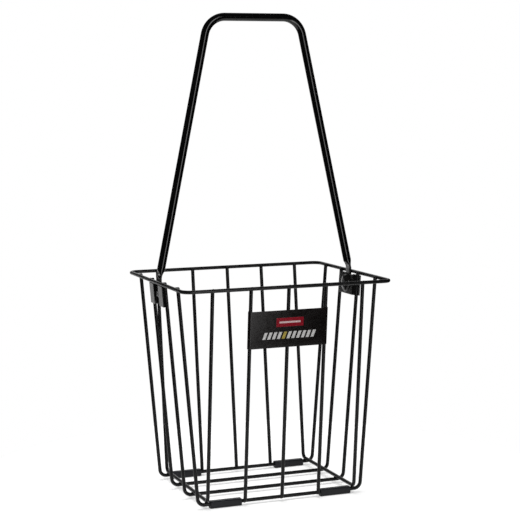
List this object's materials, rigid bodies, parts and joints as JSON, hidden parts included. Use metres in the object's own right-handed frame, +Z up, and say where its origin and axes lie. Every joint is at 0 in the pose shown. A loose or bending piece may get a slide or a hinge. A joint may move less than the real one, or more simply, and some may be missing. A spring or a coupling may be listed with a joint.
{
  "type": "tennis ball hopper",
  "caption": "Wire basket for picking up and carrying tennis balls, with floor gaps that a ball squeezes through, a tilting tube handle, rubber feet and a front plate with plain stripes.",
  "frame": {"origin": "on the floor under the middle of the basket", "axes": "+Z up, +X along the basket towards its right side wall, -Y towards the front wall with the plate"},
  "size_m": [0.3474, 0.2994, 0.7678],
  "materials": {
    "wire": "black powder coat, semi-gloss",
    "tube": "black gloss paint",
    "bracket": "black moulded nylon, fine grain",
    "rivet": "black zinc",
    "foot": "charcoal rubber, matt",
    "plate": "black satin, printed with plain stripes"
  },
  "bodies": {
    "basket": {"top_rim": "wire", "long_wire_1": "wire", "long_wire_2": "wire", "long_wire_3": "wire", "long_wire_4": "wire", "cross_wire_left": "wire", "cross_wire_right": "wire", "front_upright_1": "wire", "front_upright_2": "wire", "front_upright_3": "wire", "back_upright_1": "wire", "back_upright_2": "wire", "back_upright_3": "wire", "handle_bracket_left": "bracket", "handle_bracket_right": "bracket", "pivot_rivet_left": "rivet", "pivot_rivet_right": "rivet", "pivot_washer_left": "rivet", "pivot_washer_right": "rivet", "foot_front_left": "foot", "foot_front_right": "foot", "foot_rear_left": "foot", "foot_rear_right": "foot", "front_plate": "plate"},
    "handle": {"carry_handle": "tube"}
  },
  "joints": [
    {"name": "handle_tilt", "type": "hinge", "parent": "basket", "child": "handle", "pos_m": [0, 0, 0.3274], "axis": [1, 0, 0], "range_deg": [-40, 40]}
  ]
}
